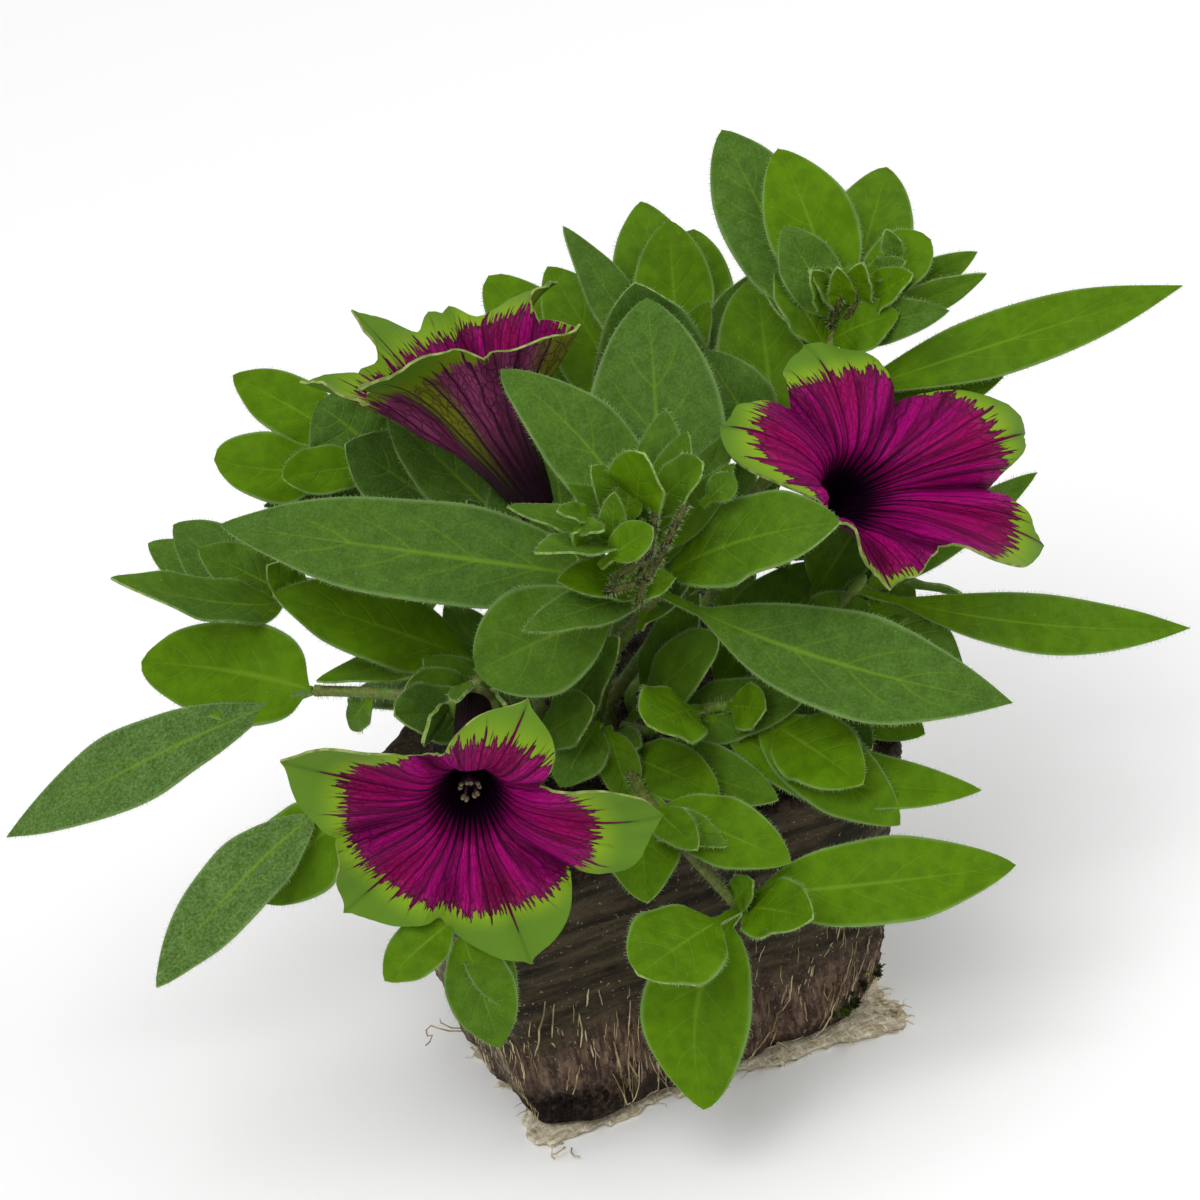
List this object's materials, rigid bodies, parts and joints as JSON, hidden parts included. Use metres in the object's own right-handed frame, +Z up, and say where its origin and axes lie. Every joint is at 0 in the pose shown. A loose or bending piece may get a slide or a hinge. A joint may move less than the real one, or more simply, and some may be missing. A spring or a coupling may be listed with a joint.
{
  "type": "petunia plant with its bare root ball",
  "caption": "Flowering petunia plant standing on its bare, square root ball and a thin mat of pale roots, with leafy shoots and trumpet-shaped purple flowers edged in green.",
  "frame": {"origin": "on the flat underside of the root mat, under the middle of the root ball", "axes": "+Z up along the plant, +X to the right and +Y to the back as seen from the plant's front"},
  "size_m": [0.1985, 0.1399, 0.1312],
  "materials": {
    "leaf": "matte",
    "flower_stalk": "matte",
    "petal": "satin",
    "stamen": "matte",
    "soil": "matte",
    "root_felt": "matte"
  },
  "bodies": {
    "root": {"root_mat": "root_felt", "root_ball": "soil", "shoot_centre": "leaf", "shoot_upper_right": "leaf", "shoot_top": "leaf", "shoot_upper_left": "leaf", "shoot_left_back": "leaf", "shoot_left": "leaf", "shoot_left_front": "leaf", "shoot_front_left": "leaf", "shoot_front": "leaf", "shoot_front_right": "leaf", "shoot_right": "leaf", "shoot_back_left": "leaf", "shoot_back_right": "leaf", "shoot_right_back": "leaf", "flower_stalk_1": "flower_stalk", "corolla_1": "petal", "stamens_1": "stamen", "flower_stalk_2": "flower_stalk", "corolla_2": "petal", "stamens_2": "stamen", "flower_stalk_3": "flower_stalk", "corolla_3": "petal", "stamens_3": "stamen"}
  },
  "joints": []
}
